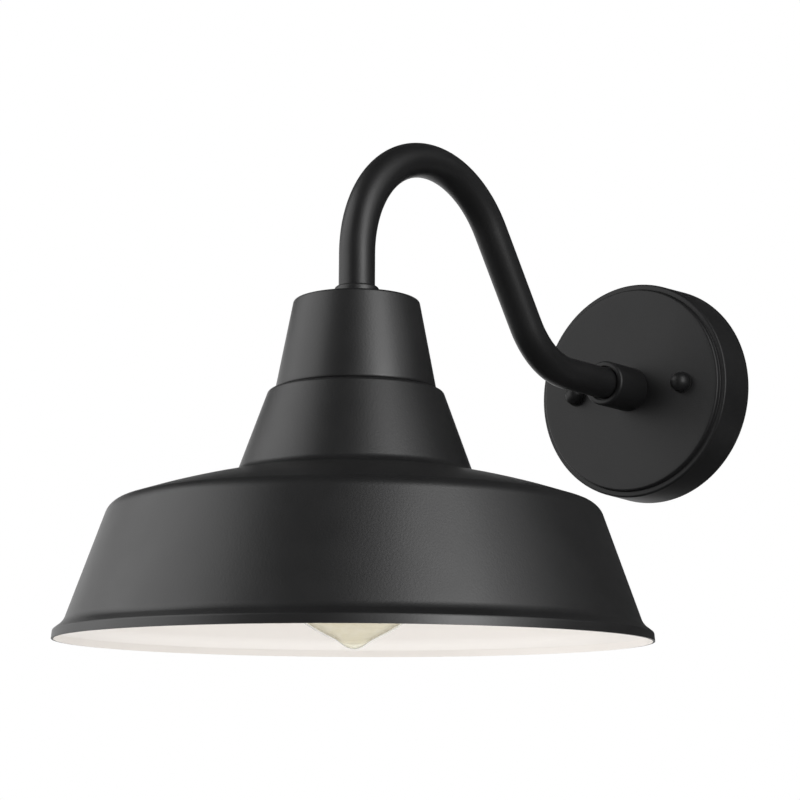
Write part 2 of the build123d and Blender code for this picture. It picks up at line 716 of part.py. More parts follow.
# Filament: one wire that zigzags round the cage, with a short level run over each spoke
filament_points = [cage_point(0)]
for index in range(1, CAGE_STRANDS):
    filament_points.append(cage_point(index, -CAGE_CORNER / 2))
    filament_points.append(cage_point(index, CAGE_CORNER / 2))
filament_points.append(cage_point(CAGE_STRANDS))
with BuildPart() as bulb_filament:
    with BuildLine() as filament_line:
        FilletPolyline(*filament_points, radius=FILAMENT_BEND)
    with BuildSketch(Plane(origin=filament_line.wire() @ 0, z_dir=filament_line.wire() % 0)):
        Circle(FILAMENT_R)
    sweep(path=filament_line.wire())
save(bulb_filament, "bulb_filament")

# Supports: a rod below the stem with a spoke to each inner corner of the filament
spoke_gap = FILAMENT_R + RUNNING
with BuildPart() as filament_supports:
    rod_low_z = above_tip(cage_low_h) - SUPPORT_ROD_R
    with BuildSketch(on_shade_axis(rod_low_z)):
        Circle(SUPPORT_ROD_R)
    extrude(amount=above_tip(stem_low_h) - rod_low_z)
    for index in range(1, CAGE_STRANDS):
        corner = cage_point(index)
        root = Vector(0, -SHADE_OUT, corner.Z)
        spoke_plane = Plane(origin=root, z_dir=corner - root)
        with BuildSketch(spoke_plane):
            Circle(SUPPORT_R)
        extrude(amount=(corner - root).length - spoke_gap)
save(filament_supports, "filament_supports")

# Lead-in wires from the stem to the two ends of the filament
with BuildPart() as filament_leads:
    for index in (0, CAGE_STRANDS):
        corner = cage_point(index)
        root = Vector(0, -SHADE_OUT, corner.Z)
        outward = (corner - root).normalized()
        stem_drop = above_tip(stem_low_h) - FILAMENT_LEAD_R - corner.Z
        start = root + outward * FILAMENT_LEAD_START_R + Vector(0, 0, stem_drop)
        end = corner + Vector(0, 0, FILAMENT_R + FILAMENT_LEAD_R + FIT)
        with BuildSketch(Plane(origin=start, z_dir=end - start)):
            Circle(FILAMENT_LEAD_R)
        extrude(amount=(end - start).length)
save(filament_leads, "filament_leads")
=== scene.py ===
import json
from math import atan2, ceil, cos, pi, radians, sin, tan, tau

import bmesh
import bpy
from mathutils import Matrix, Vector
from mathutils.geometry import interpolate_bezier


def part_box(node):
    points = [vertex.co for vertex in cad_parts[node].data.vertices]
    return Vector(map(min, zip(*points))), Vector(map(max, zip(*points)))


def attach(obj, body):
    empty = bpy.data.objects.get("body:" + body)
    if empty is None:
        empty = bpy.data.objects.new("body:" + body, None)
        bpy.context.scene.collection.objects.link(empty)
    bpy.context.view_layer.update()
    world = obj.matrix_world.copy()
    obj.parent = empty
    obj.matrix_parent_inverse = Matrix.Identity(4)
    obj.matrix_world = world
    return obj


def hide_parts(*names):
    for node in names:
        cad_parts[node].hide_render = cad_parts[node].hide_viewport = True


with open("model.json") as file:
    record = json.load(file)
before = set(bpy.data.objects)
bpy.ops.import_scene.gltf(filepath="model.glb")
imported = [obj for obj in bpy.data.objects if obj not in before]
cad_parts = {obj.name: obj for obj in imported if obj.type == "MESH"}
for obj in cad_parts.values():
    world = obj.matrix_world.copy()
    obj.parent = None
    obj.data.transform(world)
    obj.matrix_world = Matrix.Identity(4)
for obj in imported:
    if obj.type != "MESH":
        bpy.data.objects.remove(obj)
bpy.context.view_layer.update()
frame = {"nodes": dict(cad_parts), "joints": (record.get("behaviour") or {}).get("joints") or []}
nodes = frame["nodes"]
hinges = [joint for joint in frame["joints"] if joint["type"] == "hinge"]
turning_places = {joint["name"]: Vector(joint["pos_m"]) for joint in hinges}

# Wall lantern in metres: the wall is the plane Y = 0, the lamp stands out towards -Y, and +Z is up.
# Shade: heights are above the rim, radii are on the outside of the sheet
SHADE_SHEET = 0.0012
RIM_R = 0.1622
LIP_R = 0.1618
LIP_H = 0.0046
SKIRT_R = 0.1562
SKIRT_H = 0.0089
SHOULDER_R = 0.1339
SHOULDER_H = 0.0727
DOME_R = 0.0993
DOME_H = 0.0838
NECK_BASE_R = 0.0653
NECK_BASE_H = 0.0912
NECK_TOP_R = 0.0485
SOCKET_HOLE_R = 0.0360
LIP_BEND = 0.0016
FLARE_BEND = 0.0090
SHOULDER_BEND = 0.0100
DOME_BEND = 0.3500
NECK_BASE_BEND = 0.0065
NECK_TOP_BEND = 0.0029

# Socket cap and its collar
CAP_BASE_R = 0.0449
CAP_TOP_R = 0.0352
CAP_SHEET = 0.0015
CAP_BASE_BEND = 0.0020
CAP_TOP_BEND = 0.0019
COLLAR_R = 0.0125
COLLAR_BEND = 0.0018

# Arm: a plumb run, an arch, a slanted leg and a bend into a level run
TUBE_R = 0.0102
TUBE_WALL = 0.0016
TUBE_HOLE_R = 0.0103
ARCH_START_Z = 0.0372
ARCH_R = 0.0690
ARCH_TURN = radians(145.4)
FOOT_R = 0.0555

# Canopy, sleeve, nuts and washers: heights are distances out from the wall
CANOPY_R = 0.0727
CANOPY_SHEET = 0.0012
CANOPY_DEPTH = 0.0278
CANOPY_FRONT_R = 0.0716
CANOPY_BEND = 0.0015
FACE_FOOT_R = 0.0678
FACE_FOOT_BEND = 0.0006
FACE_LEAN = 0.0003
FACE_BEND = 0.0014
FACE_RAISE = 0.0033
FACE_BAND = 0.0040
SLEEVE_R = 0.0146
SLEEVE_BEND = 0.0018
SLEEVE_MOUTH_R = 0.0112
SLEEVE_MOUTH_BEND = 0.0004
SLEEVE_MOUTH_DEPTH = 0.0030
STUD_HOLE_R = 0.00235
STUD_R = 0.00205
STUD_ROOT_R = 0.00170
STUD_PITCH = 0.0254 / 32
STUD_POINT = 0.0005
NUT_R = 0.0063
NUT_COLLAR = 0.0020
NUT_COLLAR_BEND = 0.0005
NUT_BORE = 0.0064
WASHER_R = 0.0069
WASHER_BEND = 0.0003

# Behind the canopy: plate, seal and wire connectors
PLATE_R = 0.0530
PLATE_THICK = 0.0020
PLATE_BEVEL = 0.0003
PLATE_BEVEL_STEPS = 1
PLATE_WIRE_HOLE_R = 0.0180
BOX_SLOT_Z = 0.04445
BOX_SLOT_R = 0.0025
BOX_SLOT_RUN = 0.0030
GROUND_HOLE_R = 0.0020
GROUND_RADIUS = 0.0370
GROUND_ANGLE = radians(225)
GASKET_WIDTH = 0.0070
GASKET_BEND = 0.0012
CONNECTOR_R = 0.0056
CONNECTOR_TIP_R = 0.0036
CONNECTOR_BORE_R = 0.0015
CONNECTOR_GRIP = 0.0111
CONNECTOR_SKIRT = 0.0045
CONNECTOR_BEND = 0.0012
CONNECTOR_FLUTES = 12
STEPS_PER_FLUTE = 4
CONNECTOR_FLUTE = 0.0004

# Lampholder
HOLDER_R = 0.0225
HOLDER_BEND = 0.0026
HOLDER_BORE_R = 0.0143
HOLDER_BORE_BEND = 0.0008
HOLDER_FLOOR = 0.0105
SHELL_CREST_R = 0.0142
SHELL_ROOT_R = 0.0138
SHELL_SHEET = 0.0003
SHELL_EYE_R = 0.0080
SHELL_PLAIN = 0.0020
SCREW_CIRCLE_R = 0.0400
SCREW_HEAD_R = 0.0033
SCREW_HEAD = 0.0020
SCREW_R = 0.00175
SCREW_SLOT = 0.0009
SCREW_SLOT_DEPTH = 0.0009
SCREW_BEVEL = 0.0004
SCREW_BEVEL_STEPS = 3
SHADE_SCREWS = 3

# Bulb: heights are above its tip, and each knot of the glass is (radius, height) with its handles in and out
BULB_GLASS = 0.0005
BULB_KNOTS = (
    ((0.0000, 0.0000), (0.0000, 0.0000), (0.0022, 0.0000)),
    ((0.0060, 0.0020), (-0.0013, -0.0009), (0.0012, 0.0008)),
    ((0.0112, 0.0053), (-0.0028, -0.0013), (0.0045, 0.0019)),
    ((0.0270, 0.0137), (-0.0045, -0.0032), (0.0034, 0.0024)),
    ((0.0320, 0.0310), (0.0000, -0.0095), (0.0000, 0.0170)),
    ((0.0251, 0.0674), (0.0036, -0.0105), (-0.0043, 0.0125)),
    ((0.0122, 0.1130), (0.0000, -0.0150), (0.0000, 0.0000)),
)
KNOT_STEPS = 13
BASE_CREST_R = 0.0131
BASE_ROOT_R = 0.0124
BASE_PITCH = 0.0254 / 7
BASE_LOW_H = 0.1080
BASE_SKIRT_H = 0.1135
BASE_THREAD_H = 0.1145
BASE_NECK_H = 0.1280
BASE_SHOULDER_H = 0.1292
BASE_TOP_H = 0.1320
BASE_SHEET = 0.0003
BASE_TOP_R = 0.0090
BASE_EYE_R = 0.0060

# How finely round pieces are stepped
ROUND_STEPS = 160
SMALL_STEPS = 64
STUD_STEPS = 24
WAVE_STEPS = 8
DOME_STEPS = 12
BEND_STEPS = 6
TUBE_SIDES = 64
ARCH_STEPS = 96
FOOT_STEPS = 40
CREASE = radians(32)
SHARP = radians(60)
MERGE = 1e-6

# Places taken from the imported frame
shade_axis = Vector((turning_places["bulb_turn"].x, turning_places["bulb_turn"].y, 0))
rim_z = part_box("shade")[0].z
neck_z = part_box("shade")[1].z
cap_top_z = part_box("socket_cap")[1].z
collar_top_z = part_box("cap_collar")[1].z
tube_end_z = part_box("arm_tube")[0].z
tube_end_out = -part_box("arm_tube")[1].y
face_out = CANOPY_DEPTH + FACE_RAISE
sleeve_out = -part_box("wall_sleeve")[0].y
nut_seat_out = -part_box("cap_nut_right")[1].y
stud_out = -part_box("stud_right")[0].y
stud_x = turning_places["nut_right_turn"].x
gasket_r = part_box("wall_gasket")[1].x
gasket_out = -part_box("wall_gasket")[0].y
holder_low_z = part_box("socket_body")[0].z
holder_top_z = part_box("socket_body")[1].z
shell_low_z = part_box("socket_shell")[0].z
shell_top_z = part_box("socket_shell")[1].z
screw_seat_z = neck_z - SHADE_SHEET
screw_top_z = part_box("shade_screws")[1].z
tip_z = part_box("bulb_glass")[0].z

# Turning places: local Z is the axis a piece is turned about
ON_SHADE_AXIS = Matrix.Translation(shade_axis)
OUT_FROM_WALL = Matrix.Rotation(radians(90), 4, "X")
ON_BULB_TIP = ON_SHADE_AXIS @ Matrix.Translation((0, 0, tip_z))


def round_corner(bm, corner, radius):
    """Round one corner of an open line of edges to a radius."""
    before, after = [edge.other_vert(corner).co - corner.co for edge in corner.link_edges]
    cut = radius * tan((pi - before.angle(after)) / 2)
    bmesh.ops.bevel(
        bm, geom=[corner], offset=cut, offset_type="OFFSET", affect="VERTICES",
        segments=BEND_STEPS, profile=0.5, material=-1,
    )


def turned(outline, steps=ROUND_STEPS):
    """A bmesh turned about Z from (radius, height, bend) points: a bend rounds its corner to that radius."""
    bm = bmesh.new()
    corners = [bm.verts.new((radius, 0, height)) for radius, height, _ in outline]
    for start, end in zip(corners, corners[1:]):
        bm.edges.new((start, end))
    for corner, (_, _, bend) in zip(corners, outline):
        if bend:
            round_corner(bm, corner, bend)
    spin_round(bm, steps)
    return bm


def spin_round(bm, steps):
    """Spin an outline once round Z and close its seam and its poles."""
    bmesh.ops.spin(
        bm, geom=bm.verts[:] + bm.edges[:], cent=(0, 0, 0), axis=(0, 0, 1), dvec=(0, 0, 0),
        angle=tau, steps=steps, use_merge=True,
    )
    bmesh.ops.remove_doubles(bm, verts=bm.verts, dist=MERGE)
    face_outwards(bm)


def face_outwards(bm):
    """Turn all faces away from the middle of the shape."""
    bmesh.ops.recalc_face_normals(bm, faces=bm.faces)
    middle = sum((vert.co for vert in bm.verts), Vector()) / len(bm.verts)
    lean = sum(face.calc_area() * face.normal.dot(face.calc_center_median() - middle) for face in bm.faces)
    if lean < 0:
        bmesh.ops.reverse_faces(bm, faces=bm.faces)


def give_wall(bm, thickness):
    """Thicken an open shell inwards and return the faces of its inner wall."""
    outer = set(bm.faces)
    made = bmesh.ops.solidify(bm, geom=bm.faces[:], thickness=thickness)["geom"]
    return [item for item in made if isinstance(item, bmesh.types.BMFace) and item not in outer]


def ring_at(bm, height):
    """The open edges of a shape at one height."""
    return [
        edge for edge in bm.edges
        if edge.is_boundary and all(abs(vert.co.z - height) < MERGE for vert in edge.verts)
    ]


def carry_ring(bm, ring, radius, height):
    """Carry a ring of edges on to a plain circle about Z and return the new ring."""
    made = bmesh.ops.extrude_edge_only(bm, edges=ring)["geom"]
    for item in made:
        if isinstance(item, bmesh.types.BMVert):
            item.co.xy = item.co.xy.normalized() * radius
            item.co.z = height
    return [item for item in made if isinstance(item, bmesh.types.BMEdge)]


def threaded(root_r, crest_r, pitch, low, high, steps=SMALL_STEPS):
    """An open wall with a rolled thread about Z, cut off square at both heights."""
    bm = bmesh.new()
    rise = pitch / steps
    start_h = low - pitch - rise / 2
    wave = [
        bm.verts.new((
            root_r + (crest_r - root_r) * (1 - cos(tau * step / WAVE_STEPS)) / 2,
            0,
            start_h + pitch * step / WAVE_STEPS,
        ))
        for step in range(WAVE_STEPS + 1)
    ]
    for start, end in zip(wave, wave[1:]):
        bm.edges.new((start, end))
    turns = ceil((high - start_h) / pitch)
    bmesh.ops.spin(
        bm, geom=bm.verts[:] + bm.edges[:], cent=(0, 0, 0), axis=(0, 0, 1), dvec=(0, 0, rise),
        angle=tau * turns, steps=steps * turns,
    )
    bmesh.ops.remove_doubles(bm, verts=bm.verts, dist=MERGE)
    for height, away in ((low, -1), (high, 1)):
        bmesh.ops.bisect_plane(
            bm, geom=bm.verts[:] + bm.edges[:] + bm.faces[:], plane_co=(0, 0, height), plane_no=(0, 0, away),
            clear_outer=True,
        )
    return bm


def repeated(single, places):
    """Copies of one shape at several places, in one bmesh."""
    mesh = bpy.data.meshes.new("single")
    single.to_mesh(mesh)
    single.free()
    bm = bmesh.new()
    for place in places:
        known = set(bm.verts)
        bm.from_mesh(mesh)
        bmesh.ops.transform(bm, matrix=place, verts=[vert for vert in bm.verts if vert not in known])
    bpy.data.meshes.remove(mesh)
    return bm


def make_piece(bm, name, place, body, slot, materials, *replaced):
    """Place a finished bmesh in the frame as a piece that rides on a body and stands for CAD nodes."""
    bm.transform(place)
    for face in bm.faces:
        face.smooth = True
    for edge in bm.edges:
        edge.smooth = edge.calc_face_angle(0) < CREASE
    mesh = bpy.data.meshes.new(name)
    bm.to_mesh(mesh)
    bm.free()
    for material in materials:
        mesh.materials.append(material)
    piece = bpy.data.objects.new(name, mesh)
    bpy.context.scene.collection.objects.link(piece)
    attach(piece, body)
    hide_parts(*replaced)


GRAIN_DETAIL = 2.0
MOTTLE_DETAIL = 3.0


def grain_group():
    """Fine grain and slow mottle over a piece, which coats, castings and plastics share."""
    tree = bpy.data.node_groups.new("surface_grain", "ShaderNodeTree")
    for label in ("Grain Scale", "Mottle Scale"):
        tree.interface.new_socket(label, in_out="INPUT", socket_type="NodeSocketFloat")
    for label in ("Grain", "Mottle"):
        tree.interface.new_socket(label, in_out="OUTPUT", socket_type="NodeSocketFloat")
    source = tree.nodes.new("NodeGroupInput")
    result = tree.nodes.new("NodeGroupOutput")
    coordinates = tree.nodes.new("ShaderNodeTexCoord")
    for label, detail in (("Grain", GRAIN_DETAIL), ("Mottle", MOTTLE_DETAIL)):
        noise = tree.nodes.new("ShaderNodeTexNoise")
        noise.inputs["Detail"].default_value = detail
        tree.links.new(coordinates.outputs["Object"], noise.inputs["Vector"])
        tree.links.new(source.outputs[label + " Scale"], noise.inputs["Scale"])
        tree.links.new(noise.outputs["Fac"], result.inputs[label])
    return tree


GRAIN = grain_group()


def finish(name, colours, roughness, grain_scale, mottle_scale, grain_depth, **shader_values):
    """A finish whose colour and roughness drift between two values over the surface, with a fine grain."""
    material = bpy.data.materials.new(name)
    material.use_nodes = True
    tree = material.node_tree
    shader = tree.nodes["Principled BSDF"]
    for label, value in shader_values.items():
        shader.inputs[label.replace("_", " ")].default_value = value
    grain = tree.nodes.new("ShaderNodeGroup")
    grain.node_tree = GRAIN
    grain.inputs["Grain Scale"].default_value = grain_scale
    grain.inputs["Mottle Scale"].default_value = mottle_scale
    drift = tree.nodes.new("ShaderNodeMix")
    drift.data_type = "RGBA"
    drift.inputs["A"].default_value = (*colours[0], 1)
    drift.inputs["B"].default_value = (*colours[1], 1)
    tree.links.new(grain.outputs["Mottle"], drift.inputs["Factor"])
    tree.links.new(drift.outputs["Result"], shader.inputs["Base Color"])
    polish = tree.nodes.new("ShaderNodeMapRange")
    polish.inputs["To Min"].default_value = roughness[0]
    polish.inputs["To Max"].default_value = roughness[1]
    tree.links.new(grain.outputs["Mottle"], polish.inputs["Value"])
    tree.links.new(polish.outputs["Result"], shader.inputs["Roughness"])
    bump = tree.nodes.new("ShaderNodeBump")
    bump.inputs["Distance"].default_value = grain_depth
    tree.links.new(grain.outputs["Grain"], bump.inputs["Height"])
    tree.links.new(bump.outputs["Normal"], shader.inputs["Normal"])
    return material


black_coat = finish(
    "black_powder_coat", ((0.0048, 0.0048, 0.0050), (0.0068, 0.0068, 0.0070)), roughness=(0.36, 0.46),
    grain_scale=900, mottle_scale=40, grain_depth=0.00006, Specular_IOR_Level=0.5,
)
# Painted shade: the same black coat with less gloss, so the arm renders darker than the shade
arm_coat_painted_shade = finish(
    "black_coat_arm_painted_shade", ((0.0048, 0.0048, 0.0050), (0.0068, 0.0068, 0.0070)), roughness=(0.36, 0.46),
    grain_scale=900, mottle_scale=40, grain_depth=0.00006, Specular_IOR_Level=0.38,
)
# Same black coat with still less gloss for the canopy, sleeve and nuts: partly a more matte finish, partly
# painted shade, as these parts fall darker than the shade
canopy_coat_painted_shade = finish(
    "black_coat_canopy_painted_shade", ((0.0050, 0.0050, 0.0052), (0.0070, 0.0070, 0.0072)), roughness=(0.38, 0.48),
    grain_scale=900, mottle_scale=40, grain_depth=0.00006, Specular_IOR_Level=0.25,
)
white_enamel = finish(
    "white_enamel", ((0.86, 0.82, 0.78), (0.89, 0.855, 0.82)), roughness=(0.28, 0.36),
    grain_scale=260, mottle_scale=9, grain_depth=0.00003,
)
foam_rubber = finish(
    "foam_rubber", ((0.004, 0.004, 0.004), (0.008, 0.008, 0.008)), roughness=(0.75, 0.95),
    grain_scale=900, mottle_scale=60, grain_depth=0.0002, Specular_IOR_Level=0.12,
)
zinc_plate = finish(
    "zinc_plate", ((0.52, 0.53, 0.55), (0.66, 0.66, 0.64)), roughness=(0.28, 0.42),
    grain_scale=700, mottle_scale=120, grain_depth=0.00002, Metallic=1.0,
)
green_plate = finish(
    "green_plate", ((0.06, 0.22, 0.09), (0.10, 0.30, 0.13)), roughness=(0.30, 0.42),
    grain_scale=700, mottle_scale=150, grain_depth=0.00002, Metallic=0.6,
)
porcelain_glaze = finish(
    "porcelain_glaze", ((0.76, 0.74, 0.69), (0.82, 0.80, 0.76)), roughness=(0.10, 0.22),
    grain_scale=220, mottle_scale=25, grain_depth=0.00003,
)
brass_sheet = finish(
    "brass_sheet", ((0.66, 0.46, 0.17), (0.78, 0.58, 0.27)), roughness=(0.24, 0.40),
    grain_scale=600, mottle_scale=90, grain_depth=0.00002, Metallic=1.0,
)
cap_metal = finish(
    "bulb_cap_metal", ((0.62, 0.50, 0.28), (0.76, 0.64, 0.40)), roughness=(0.20, 0.36),
    grain_scale=500, mottle_scale=120, grain_depth=0.00002, Metallic=1.0,
)
dark_glass = finish(
    "dark_glass", ((0.010, 0.010, 0.012), (0.03, 0.028, 0.03)), roughness=(0.08, 0.18),
    grain_scale=400, mottle_scale=80, grain_depth=0.00002,
)
filament_wire = finish(
    "filament_wire", ((0.16, 0.14, 0.12), (0.30, 0.27, 0.23)), roughness=(0.35, 0.55),
    grain_scale=3000, mottle_scale=300, grain_depth=0.00001, Metallic=0.8,
)
black_lead = finish(
    "black_lead", ((0.012, 0.012, 0.012), (0.022, 0.022, 0.022)), roughness=(0.38, 0.52),
    grain_scale=900, mottle_scale=80, grain_depth=0.00003,
)
white_lead = finish(
    "white_lead", ((0.70, 0.69, 0.66), (0.78, 0.77, 0.74)), roughness=(0.38, 0.52),
    grain_scale=900, mottle_scale=80, grain_depth=0.00003,
)
orange_plastic = finish(
    "orange_plastic", ((0.62, 0.16, 0.02), (0.72, 0.22, 0.04)), roughness=(0.36, 0.50),
    grain_scale=700, mottle_scale=70, grain_depth=0.00004,
)


GLASS_ROUGHNESS = (0.0, 0.03)
GLASS_RIPPLE_SCALE = 60
GLASS_RIPPLE = 0.00006
GLASS_IOR = 1.5
GLASS_EDGE_SHADE_START = 0.6


def clear_glass(name, colours, edge_tint_and_shade, mottle_scale):
    """Clear blown glass with a faint ripple and a drifting tint that is deeper where it is seen edge on,
    partly from the longer path through the glass and partly as painted shade for dark edge reflections.
    """
    material = finish(name, colours, GLASS_ROUGHNESS, GLASS_RIPPLE_SCALE, mottle_scale, GLASS_RIPPLE)
    tree = material.node_tree
    shader = tree.nodes["Principled BSDF"]
    # Darker towards the edges: partly a deeper tint through the longer path, partly painted shade for dark
    # edge reflections
    slant = tree.nodes.new("ShaderNodeLayerWeight")
    depth = tree.nodes.new("ShaderNodeMapRange")
    depth.inputs["From Min"].default_value = GLASS_EDGE_SHADE_START
    deepen_and_shade = tree.nodes.new("ShaderNodeMix")
    deepen_and_shade.data_type = "RGBA"
    deepen_and_shade.inputs["B"].default_value = (*edge_tint_and_shade, 1)
    tree.links.new(slant.outputs["Facing"], depth.inputs["Value"])
    tree.links.new(depth.outputs["Result"], deepen_and_shade.inputs["Factor"])
    tree.links.new(shader.inputs["Base Color"].links[0].from_socket, deepen_and_shade.inputs["A"])
    tree.links.new(deepen_and_shade.outputs["Result"], shader.inputs["Base Color"])
    shader.inputs["Transmission Weight"].default_value = 1.0
    shader.inputs["IOR"].default_value = GLASS_IOR
    return material


# Edge colours: partly deeper tint, partly painted shade for the glass's dark edge reflections
amber_glass = clear_glass("amber_glass", ((0.92, 0.89, 0.75), (1.0, 1.0, 0.96)), (0.50, 0.44, 0.30), 240)
stem_glass = clear_glass("stem_glass", ((0.93, 0.94, 0.92), (0.97, 0.97, 0.96)), (0.80, 0.82, 0.80), 60)


def make_shade():
    """Spun shade: black coat outside, white enamel inside."""
    bm = turned((
        (SOCKET_HOLE_R, neck_z, 0),
        (NECK_TOP_R, neck_z, NECK_TOP_BEND),
        (NECK_BASE_R, rim_z + NECK_BASE_H, NECK_BASE_BEND),
        (DOME_R, rim_z + DOME_H, DOME_BEND),
        (SHOULDER_R, rim_z + SHOULDER_H, SHOULDER_BEND),
        (SKIRT_R, rim_z + SKIRT_H, FLARE_BEND),
        (LIP_R, rim_z + LIP_H, LIP_BEND),
        (RIM_R, rim_z, 0),
    ))
    for face in give_wall(bm, SHADE_SHEET):
        face.material_index = 1
    make_piece(
        bm, "shade_shell", ON_SHADE_AXIS, "fixture", "black_paint", (black_coat, white_enamel), "shade",
    )


def make_cap():
    """Conical socket cap with a turned-in flange on the shade's neck, and the collar round the arm."""
    cap = turned((
        (SOCKET_HOLE_R, neck_z, 0),
        (CAP_BASE_R, neck_z, CAP_BASE_BEND),
        (CAP_TOP_R, cap_top_z, CAP_TOP_BEND),
        (TUBE_HOLE_R, cap_top_z, 0),
    ))
    give_wall(cap, CAP_SHEET)
    make_piece(cap, "cap_housing", ON_SHADE_AXIS, "fixture", "black_paint", (black_coat,), "socket_cap")
    collar = turned((
        (TUBE_HOLE_R, cap_top_z, 0),
        (COLLAR_R, cap_top_z, 0),
        (COLLAR_R, collar_top_z, COLLAR_BEND),
        (TUBE_HOLE_R, collar_top_z, 0),
        (TUBE_HOLE_R, cap_top_z, 0),
    ), SMALL_STEPS)
    make_piece(collar, "arm_collar", ON_SHADE_AXIS, "fixture", "black_paint", (black_coat,), "cap_collar")


def push_run(bm, run, move):
    """Carry a ring of edges straight on and return the new ring."""
    made = bmesh.ops.extrude_edge_only(bm, edges=run)["geom"]
    bmesh.ops.translate(bm, verts=[item for item in made if isinstance(item, bmesh.types.BMVert)], vec=move)
    return [item for item in made if isinstance(item, bmesh.types.BMEdge)]


def bend_run(bm, run, centre, axis, turn, steps):
    """Carry a ring of edges round a bend and return the new ring."""
    made = bmesh.ops.spin(bm, geom=run, cent=centre, axis=axis, dvec=(0, 0, 0), angle=turn, steps=steps)
    return [item for item in made["geom_last"] if isinstance(item, bmesh.types.BMEdge)]


def make_arm():
    """Bent tube: two rings carried along the arm's line and joined at both ends."""
    bm = bmesh.new()
    foot = shade_axis + Vector((0, 0, tube_end_z))
    for radius in (TUBE_R, TUBE_R - TUBE_WALL):
        bmesh.ops.create_circle(
            bm, cap_ends=False, radius=radius, segments=TUBE_SIDES, matrix=Matrix.Translation(foot),
        )
    start = bm.edges[:]
    run = push_run(bm, start, Vector((0, 0, ARCH_START_Z - tube_end_z)))
    arch_centre = shade_axis + Vector((0, ARCH_R, ARCH_START_Z))
    run = bend_run(bm, run, arch_centre, (-1, 0, 0), ARCH_TURN, ARCH_STEPS)
    along_leg = Vector((0, sin(ARCH_TURN), cos(ARCH_TURN)))
    leg_drop = ARCH_START_Z + ARCH_R * sin(ARCH_TURN) - FOOT_R * (1 - sin(ARCH_TURN))
    leg = along_leg * (-leg_drop / cos(ARCH_TURN))
    run = push_run(bm, run, leg)
    across_leg = Vector((0, -cos(ARCH_TURN), sin(ARCH_TURN)))
    leg_end = arch_centre + across_leg * ARCH_R + leg
    foot_centre = leg_end + across_leg * FOOT_R
    run = bend_run(bm, run, foot_centre, (1, 0, 0), ARCH_TURN - pi / 2, FOOT_STEPS)
    level_start = foot_centre.y
    run = push_run(bm, run, Vector((0, -tube_end_out - level_start, 0)))
    bmesh.ops.bridge_loops(bm, edges=start)
    bmesh.ops.bridge_loops(bm, edges=run)
    bmesh.ops.recalc_face_normals(bm, faces=bm.faces)
    make_piece(bm, "bent_arm", Matrix(), "fixture", "black_paint", (arm_coat_painted_shade,), "arm_tube")


def make_canopy():
    """Wall canopy: a dish whose raised face has holes for the arm and the two studs."""
    bm = turned((
        (CANOPY_R, 0, 0),
        (CANOPY_FRONT_R, CANOPY_DEPTH, CANOPY_BEND),
        (FACE_FOOT_R, CANOPY_DEPTH, FACE_FOOT_BEND),
        (FACE_FOOT_R - FACE_LEAN, face_out, FACE_BEND),
        (FACE_FOOT_R - FACE_BAND, face_out, 0),
    ))
    edges = ring_at(bm, face_out)
    for radius, x in ((TUBE_HOLE_R, 0), (STUD_HOLE_R, stud_x), (STUD_HOLE_R, -stud_x)):
        hole = bmesh.ops.create_circle(
            bm, cap_ends=False, radius=radius, segments=SMALL_STEPS,
            matrix=Matrix.Translation((x, 0, face_out)),
        )["verts"]
        edges += {edge for vert in hole for edge in vert.link_edges}
    bmesh.ops.triangle_fill(bm, use_beauty=True, edges=edges, normal=(0, 0, 1))
    face_outwards(bm)
    give_wall(bm, CANOPY_SHEET)
    for vert in bm.verts:
        vert.co.z = max(vert.co.z, 0)
    make_piece(bm, "wall_canopy", OUT_FROM_WALL, "fixture", "black_paint", (canopy_coat_painted_shade,), "canopy")
    sleeve = turned((
        (TUBE_HOLE_R, face_out, 0),
        (SLEEVE_R, face_out, 0),
        (SLEEVE_R, sleeve_out, SLEEVE_BEND),
        (SLEEVE_MOUTH_R, sleeve_out, SLEEVE_MOUTH_BEND),
        (SLEEVE_MOUTH_R, sleeve_out - SLEEVE_MOUTH_DEPTH, 0),
        (TUBE_HOLE_R, sleeve_out - SLEEVE_MOUTH_DEPTH, 0),
        (TUBE_HOLE_R, face_out, 0),
    ), SMALL_STEPS)
    make_piece(sleeve, "arm_sleeve", OUT_FROM_WALL, "fixture", "black_paint", (canopy_coat_painted_shade,), "wall_sleeve")


